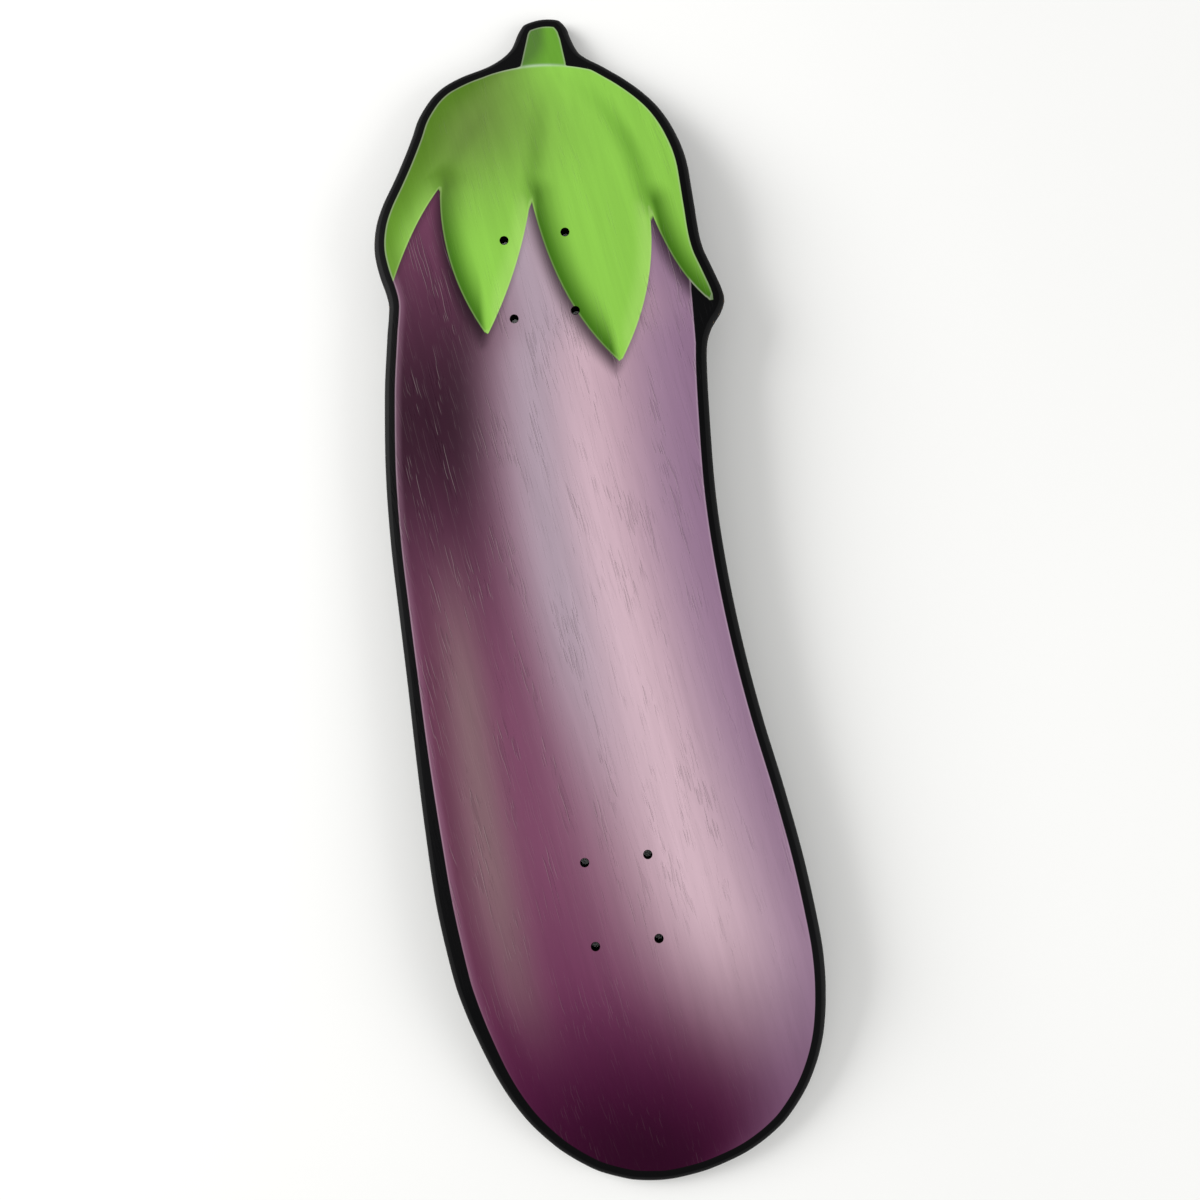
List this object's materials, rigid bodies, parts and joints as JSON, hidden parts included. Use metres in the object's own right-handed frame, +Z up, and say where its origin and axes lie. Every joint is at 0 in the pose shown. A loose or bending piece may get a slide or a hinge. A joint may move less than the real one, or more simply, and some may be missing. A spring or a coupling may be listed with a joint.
{
  "type": "skateboard deck",
  "caption": "Bare laminated maple skateboard deck sawn to an eggplant outline, with a printed underside, a black riding face, mild concave, kicked nose and tail, and truck bolt holes.",
  "frame": {"origin": "on the ground, below the middle of the deck's length and width, with the deck lying printed side up on the tips of its nose and tail", "axes": "+Z up, out of the printed underside; +Y from the tail to the nose, where the eggplant's stem is; +X to the right seen from above"},
  "size_m": [0.2496, 0.8116, 0.049],
  "materials": {
    "black_stained_maple": "black stain under satin lacquer",
    "maple_ply": "hard maple, its sanded edge painted black",
    "printed_maple": "purple and green print under satin lacquer"
  },
  "bodies": {
    "root": {"riding_face_veneer": "black_stained_maple", "long_grain_ply_2": "maple_ply", "cross_grain_ply_3": "maple_ply", "long_grain_core_4": "maple_ply", "cross_grain_ply_5": "maple_ply", "long_grain_ply_6": "maple_ply", "printed_face_veneer": "printed_maple"}
  },
  "joints": []
}
